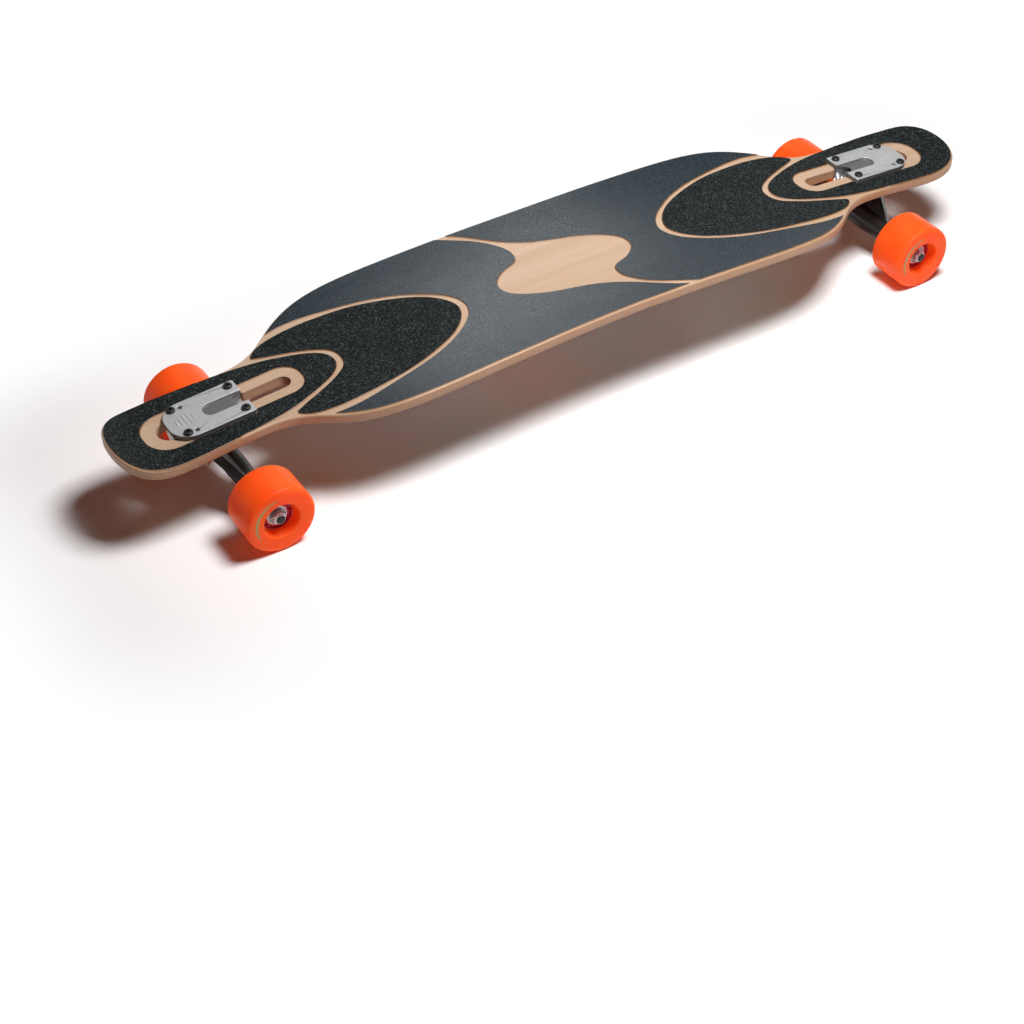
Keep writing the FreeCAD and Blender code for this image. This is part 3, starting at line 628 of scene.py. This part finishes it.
def blend_bushing(name, node, low, high):
    placing = axis_frame(low, high - low)
    height = (high - low).length / MM
    section = rounded([
        (0.0, KINGPIN_BORE, 0.0), (0.0, BUSHING_END, 0.7), (0.22 * height, BUSHING_SHOULDER, 2.0),
        (0.5 * height, BUSHING_MIDDLE, 6.0), (0.78 * height, BUSHING_SHOULDER, 2.0),
        (height, BUSHING_END, 0.7), (height, KINGPIN_BORE, 0.0), (0.66 * height, KINGPIN_BORE, 0.0),
        (0.33 * height, KINGPIN_BORE, 0.0)], 5)
    made = Batch()
    made.ring([p * MM for p in section], placing, 72)
    bushing = made.piece(name, "red_urethane", None, [node])
    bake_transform(bushing)


def truck_pieces(end):
    turn = truck_matrix(end)
    hanger_body = end + "_hanger_body"

    def on_kingpin(distance):
        return turn @ (RING_CENTRE + KINGPIN_UP * distance)
    up = (turn.to_3x3() @ KINGPIN_UP).normalized()
    boss = RING_SEAT + BOARDSIDE_HEIGHT
    road = -(RING_SEAT + ROADSIDE_HEIGHT)
    blend_bushing(end + "_boardside_barrel", end + "_boardside_bushing",
                  on_kingpin(RING_SEAT), on_kingpin(boss))
    blend_bushing(end + "_roadside_barrel", end + "_roadside_bushing",
                  on_kingpin(road), on_kingpin(-RING_SEAT))
    for label, low in (("boardside", boss), ("roadside", road - WASHER)):
        cup = Batch()
        foot, top = SEAT_SLIP, WASHER - SEAT_SLIP
        cup.ring([p * MM for p in rounded([
            (foot, KINGPIN_BORE, 0.2), (foot, CUP_RADIUS, 0.6), (top, CUP_RADIUS, 0.6),
            (top, KINGPIN_BORE, 0.2)], 4)], axis_frame(on_kingpin(low), up), 72)
        cup.piece(end + "_" + label + "_cup_washer", "zinc_steel", "board", [end + "_" + label + "_washer"])
    nut = Batch()
    lock_nut(nut, KINGPIN_NUT, axis_frame(on_kingpin(road - WASHER), -up))
    nut.piece(end + "_kingpin_lock_nut", "zinc_steel", "board", [end + "_kingpin_nut"],
              finish=[looks["zinc_steel"], insert_look])
    axle_nuts = Batch()
    middle = turn @ AXLE_POINT
    for side in (-1, 1):
        base = Vector((middle.x, side * AXLE_NUT_SEAT * MM, middle.z))
        lock_nut(axle_nuts, AXLE_NUT, axis_frame(base, Vector((0, side, 0))))
    axle_nuts.piece(end + "_axle_lock_nuts", "zinc_steel", hanger_body, [end + "_axle_nuts"],
                    finish=[looks["zinc_steel"], insert_look])
    axle = Batch()
    outline = [Vector((-AXLE_END, 0.0)), Vector((-AXLE_END, AXLE_RADIUS - 0.7)),
               Vector((-AXLE_END + 0.4, AXLE_RADIUS - 0.3))]
    outline += threaded(AXLE_RADIUS, -THREAD_END, -THREAD_START, THREAD_PITCH, THREAD_DEPTH)
    outline.append(Vector((-THREAD_START + 0.5, AXLE_RADIUS)))
    outline += [Vector((-p.x, p.y)) for p in reversed(outline)]
    axle.ring([p * MM for p in outline], axis_frame(middle, Vector((0, 1, 0))), 48)
    axle.piece(end + "_axle_rod", "zinc_steel", hanger_body, [end + "_axle"], sharp=20.0, finish=[axle_look])
    deck_nuts = Batch()
    for x in (-BOLT_X, BOLT_X):
        for y in (-BOLT_Y, BOLT_Y):
            seat = turn @ Vector((x, y, -DECK_DROP - SEAT_SLIP / 2))
            down = (turn.to_3x3() @ Vector((0, 0, -1))).normalized()
            lock_nut(deck_nuts, DECK_NUT, axis_frame(seat, down))
    deck_nuts.piece(end + "_mounting_lock_nuts", "black_steel", "board", [end + "_mounting_nuts"],
                    finish=[looks["black_steel"], insert_look])
    bevel = ("BEVEL", {"width": 0.0005, "segments": 3, "limit_method": "ANGLE",
                       "angle_limit": math.radians(35), "use_clamp_overlap": False, "harden_normals": False})
    weld = ("WELD", {"merge_threshold": 0.000002})
    plate = from_node(end + "_baseplate", [weld, bevel])
    back = turn.inverted()
    # Painted shade on the base plate: the recess and the outer side walls are marked to be darkened.
    painted_shade_mask = []
    for vertex in plate.vertices:
        local = back @ vertex.co
        if abs(local.z) < SEAT_SLIP:
            vertex.co = turn @ Vector((local.x, local.y, SEAT_SLIP - BED_GAP))
        inside = (-PLATE_TOP < local.z < PLATE_TOP - 0.9 and abs(local.y) < RECESS_HALF + 0.2
                  and local.x < RECESS_END + 0.5)
        past_nose = Vector((max(local.x - PLATE_OUTER_END + PLATE_CORNER, 0.0),
                            max(abs(local.y) - PLATE_HALF_WIDTH + PLATE_CORNER, 0.0))).length
        inset = min(PLATE_CORNER - past_nose, local.x - PLATE_INNER_END)
        rim = -0.6 < local.z < PLATE_TOP - 0.1 and inset < 0.45
        painted_shade_mask.append(1.0 if inside or rim else 0.0)
    plate.attributes.new("painted_shade_mask", "FLOAT", "POINT").data.foreach_set("value", painted_shade_mask)
    casting = dress(end + "_baseplate_casting", plate, "raw_alloy", "board", [end + "_baseplate"], 30.0)
    casting.modifiers.new("flat_faces", "WEIGHTED_NORMAL").keep_sharp = True
    cast = from_node(end + "_hanger", [
        weld, ("REMESH", {"mode": "VOXEL", "voxel_size": 0.0008, "use_smooth_shade": True}),
        ("SMOOTH", {"factor": 0.5, "iterations": 6})])
    dress(end + "_hanger_casting", cast, "black_alloy", hanger_body, [end + "_hanger"], 60.0)
    bars = Batch()
    for length, x in PLATE_BARS:
        verts, faces = bar_points(length, BAR_WIDTH, BAR_RISE)
        bars.add([turn @ Vector((x + v.y, v.x, PLATE_TOP + v.z - SEAT_SLIP)) for v in verts], faces)
    bars.piece(end + "_baseplate_bars", "raw_alloy", "board", sharp=50.0)


for end in ENDS:
    truck_pieces(end)
    for hand, side in (("left", 1), ("right", -1)):
        wheel_pieces(end, hand, side)

# Grip sheets: a strip of painted shade in dark brown along their cut edges, where contact shade falls on the
# wood, as rows of distance out and rise
EDGE_SHADE_ROWS = ((-0.2, 0.12), (0.12, 0.02), (0.5, -0.44), (1.0, -0.82))


def sheet_loops(node):
    # The closed outlines of a sheet's lower face, each point with its direction away from the sheet.
    shell = bmesh.new()
    shell.from_mesh(nodes[node].data)
    bmesh.ops.remove_doubles(shell, verts=shell.verts, dist=0.000002)
    shell.normal_update()
    low = {f for f in shell.faces if f.normal.z < -0.5}
    rim = {}
    for edge in shell.edges:
        owners = [f for f in edge.link_faces if f in low]
        if len(owners) == 1:
            a, b = edge.verts
            out = (edge.verts[0].co + edge.verts[1].co) / 2 - owners[0].calc_center_median()
            way = b.co - a.co
            away = Vector((way.y, -way.x, 0)).normalized()
            if away.dot(out) < 0:
                away = -away
            rim.setdefault(a, []).append((b, away))
            rim.setdefault(b, []).append((a, away))
    loops = []
    left = set(rim)
    while left:
        start = here = min(left, key=lambda v: (v.co.x, v.co.y))
        loop = []
        before = None
        while here in left:
            left.discard(here)
            away = sum((side for _, side in rim[here]), Vector((0, 0, 0))).normalized()
            loop.append((here.co.copy(), away))
            ahead = [v for v, _ in rim[here] if v is not before and (v in left or v is start)]
            before, here = here, ahead[0] if ahead else start
        loops.append(loop)
    shell.free()
    return loops


def grip_edge_shade(node):
    shade_strip = Batch()
    high = len(EDGE_SHADE_ROWS)
    for loop in sheet_loops(node):
        verts = []
        for point, away in loop:
            verts += [point + away * (out * MM) + Vector((0, 0, rise * MM)) for out, rise in EDGE_SHADE_ROWS]
        faces = []
        for i in range(len(loop)):
            j = (i + 1) % len(loop)
            for k in range(high - 1):
                faces.append([i * high + k, j * high + k, j * high + k + 1, i * high + k + 1])
        shade_strip.add(verts, faces)
    shade_strip.piece(node + "_edge_seal", "bamboo_deck", "board", sharp=60.0, finish=[edge_shade_look])


for end in ENDS:
    for sheet in ("end_grip", "foot_pad", "main_grip"):
        grip_edge_shade(end + "_" + sheet)

# Underside: printed panels of plain geometry, laid on the lower face
INKS = {
    "teal": (0.012, 0.24, 0.27), "mist": (0.42, 0.58, 0.60), "chalk": (0.80, 0.79, 0.74),
    "coal": (0.022, 0.022, 0.025), "amber": (0.92, 0.20, 0.045), "wine": (0.36, 0.012, 0.045),
}
ink_looks = {name: ink_look("print_ink_" + name, colour) for name, colour in INKS.items()}
PRINT_PITCH, PRINT_LIFT, PRINT_LAYER = 7.0, 0.22, 0.06
PANELS = (
    ("mist", 0, ((-322, 0), (-226, -92), (-226, 92))),
    ("coal", 1, ((-286, 0), (-226, -57), (-226, -36), (-264, 0))),
    ("coal", 1, ((-286, 0), (-264, 0), (-226, 36), (-226, 57))),
    ("teal", 0, ((-222, -98), (-118, -98), (-170, 0))),
    ("chalk", 0, ((-222, 98), (-170, 0), (-118, 98))),
    ("wine", 0, ((-222, -92), (-172, 0), (-222, 92))),
    ("chalk", 0, ((-118, -94), (-118, 94), (-168, 0))),
    ("coal", 0, ((-114, -99), (-104, -99), (-104, 99), (-114, 99))),
    ("amber", 0, ((-100, 0), (-50, -96), (0, 0), (-50, 96))),
    ("chalk", 0, ((-100, -4), (-100, -99), (-54, -99))),
    ("coal", 0, ((-100, 4), (-54, 99), (-100, 99))),
    ("teal", 0, ((0, -4), (-46, -99), (46, -99))),
    ("chalk", 0, ((0, 4), (46, 99), (-46, 99))),
    ("mist", 0, ((0, 0), (50, -96), (100, 0))),
    ("teal", 0, ((0, 0), (100, 0), (50, 96))),
    ("wine", 0, ((100, -4), (54, -99), (100, -99))),
    ("chalk", 0, ((100, 4), (100, 99), (54, 99))),
    ("wine", 0, ((104, -99), (110, -99), (110, 99), (104, 99))),
    ("chalk", 0, ((118, -98), (222, -98), (170, 0))),
    ("amber", 0, ((118, 98), (170, 0), (222, 98))),
    ("coal", 0, ((118, -94), (168, 0), (118, 94))),
    ("mist", 0, ((222, -92), (222, 92), (172, 0))),
    ("teal", 0, ((322, 0), (226, 92), (226, -92))),
    ("chalk", 1, ((286, 0), (264, 0), (226, -36), (226, -57))),
    ("chalk", 1, ((286, 0), (226, 57), (226, 36), (264, 0))),
)


def print_panel(name, colour, layer, corners):
    low_x, high_x = min(x for x, _ in corners), max(x for x, _ in corners)
    low_y, high_y = min(y for _, y in corners), max(y for _, y in corners)
    columns = max(2, math.ceil((high_x - low_x) / PRINT_PITCH))
    rows = max(2, math.ceil((high_y - low_y) / PRINT_PITCH))
    sheet = bmesh.new()
    grid = [[sheet.verts.new((low_x + (high_x - low_x) * i / columns, low_y + (high_y - low_y) * j / rows, 0))
             for j in range(rows + 1)] for i in range(columns + 1)]
    for i in range(columns):
        for j in range(rows):
            sheet.faces.new((grid[i][j], grid[i + 1][j], grid[i + 1][j + 1], grid[i][j + 1]))
    centre = Vector((sum(x for x, _ in corners) / len(corners), sum(y for _, y in corners) / len(corners), 0))
    for k, corner in enumerate(corners):
        a = Vector((*corner, 0))
        way = Vector((*corners[(k + 1) % len(corners)], 0)) - a
        out = Vector((way.y, -way.x, 0)).normalized()
        if out.dot(centre - a) > 0:
            out = -out
        everything = sheet.verts[:] + sheet.edges[:] + sheet.faces[:]
        bmesh.ops.bisect_plane(sheet, geom=everything, plane_co=a, plane_no=out, clear_outer=True, dist=0.001)
    for vertex in sheet.verts:
        start = Vector((vertex.co.x * MM, vertex.co.y * MM, 0.0))
        hit = deck_tree.ray_cast(start, Vector((0, 0, 1)))[0]
        vertex.co = Vector((start.x, start.y, hit.z - (PRINT_LIFT + PRINT_LAYER * layer) * MM))
    mesh = bpy.data.meshes.new(name)
    sheet.to_mesh(mesh)
    sheet.free()
    return dress(name, mesh, "bamboo_deck", "board", sharp=60.0, finish=[ink_looks[colour]])


for number, (colour, layer, corners) in enumerate(PANELS):
    print_panel("underside_print_%02d" % (number + 1), colour, layer, corners)

# Stage: floor, lights and camera, in metres
FLOOR_SIZE = 14.0
FLOOR_HALF_X, FLOOR_HALF_Y, FADE_START, FADE_END = 0.50, 0.12, 0.05, 0.20
PANEL_WAY = (0.41, 0.715, 0.566)
WHITE = (1.0, 1.0, 1.0)


def floor_look():
    m = Look("studio_floor")
    axes = m.split(m.place)
    past_x = m.math("MAXIMUM", m.math("SUBTRACT", m.math("ABSOLUTE", axes[0]), FLOOR_HALF_X), 0.0)
    past_y = m.math("MAXIMUM", m.math("SUBTRACT", m.math("ABSOLUTE", axes[1]), FLOOR_HALF_Y), 0.0)
    square_x, square_y = m.math("MULTIPLY", past_x, past_x), m.math("MULTIPLY", past_y, past_y)
    away = m.math("SQRT", m.math("ADD", square_x, square_y))
    fade = m.span(away, FADE_START, FADE_END, smooth=True)
    lit = m.node("ShaderNodeBsdfDiffuse", {"Color": rgb((0.96, 0.96, 0.96))})
    # Painted light: a faint red emission near the board, seen by the camera and in reflections, tints the
    # floor's shadow warm.
    painted_bounce_glow = m.node("ShaderNodeEmission", {"Color": rgb((1.0, 0.32, 0.26)), "Strength": 0.016})
    white = m.node("ShaderNodeEmission", {"Color": rgb(WHITE), "Strength": 1.0})
    near = m.node("ShaderNodeAddShader", {0: lit, 1: painted_bounce_glow})
    shown = m.node("ShaderNodeMixShader", {0: fade, 1: near, 2: white})
    floor = m.node("ShaderNodeMixShader", {0: m.seen(), 1: lit, 2: shown})
    clear = m.node("ShaderNodeBsdfTransparent", {})
    under = m.node("ShaderNodeNewGeometry", {}, "Backfacing")
    return m.surface(m.node("ShaderNodeMixShader", {0: under, 1: floor, 2: clear}))


floor_mesh = bpy.data.meshes.new("floor")
reach = FLOOR_SIZE / 2
floor_corners = [(-reach, -reach, 0), (reach, -reach, 0), (reach, reach, 0), (-reach, reach, 0)]
floor_mesh.from_pydata(floor_corners, [], [(0, 1, 2, 3)])
floor = bpy.data.objects.new("floor", floor_mesh)
floor_mesh.materials.append(floor_look())
bpy.context.scene.collection.objects.link(floor)


def softbox(name, place, aim, size, power):
    lamp = bpy.data.lights.new(name, "AREA")
    lamp.shape = "RECTANGLE"
    lamp.size, lamp.size_y = size
    lamp.energy = power
    made = bpy.data.objects.new(name, lamp)
    made.location = place
    made.rotation_mode = "QUATERNION"
    made.rotation_quaternion = (Vector(aim) - Vector(place)).to_track_quat("-Z", "Y")
    bpy.context.scene.collection.objects.link(made)


softbox("key_softbox", (0.19, -0.34, 1.36), (0.02, 0.0, 0.05), (0.46, 0.46), 26.5)
softbox("back_softbox", (0.72, 1.40, 1.28), (-0.10, 0.0, 0.12), (0.70, 0.45), 1.2)

world = bpy.data.worlds.new("studio")
bpy.context.scene.world = world
sky = Nodes(world)
sky_way = sky.node("ShaderNodeTexCoord", {}, "Generated")
fall = sky.span(sky.split(sky_way)[2], 0.03, 0.40, 1.0, 0.12, True)
facing = sky.node("ShaderNodeVectorMath", {0: sky_way, 1: PANEL_WAY}, "Value", operation="DOT_PRODUCT")
panel = sky.span(facing, 0.968, 0.999, 0.0, 0.8, True)
bright = sky.math("MAXIMUM", fall, panel)
show = sky.node("ShaderNodeBackground", {"Color": rgb(WHITE), "Strength": bright})
fill = sky.node("ShaderNodeBackground", {"Color": rgb((1.0, 0.36, 0.28)), "Strength": 0.037})
both = sky.node("ShaderNodeMixShader", {0: sky.seen(), 1: fill, 2: show})
sky.output("ShaderNodeOutputWorld", both)

lens = bpy.data.cameras.new("camera")
lens.lens = 67.704
lens.sensor_width = 36.0
lens.clip_start = 0.05
lens.clip_end = 60.0
camera = bpy.data.objects.new("camera", lens)
camera.matrix_world = Matrix((
    (0.84239, 0.36282, -0.39842, -0.96946),
    (-0.53879, 0.55524, -0.63357, -1.42877),
    (-0.00866, 0.74838, 0.66322, 1.28914),
    (0.0, 0.0, 0.0, 1.0)))
bpy.context.scene.collection.objects.link(camera)
bpy.context.scene.camera = camera
bpy.context.scene.view_settings.view_transform = "Standard"
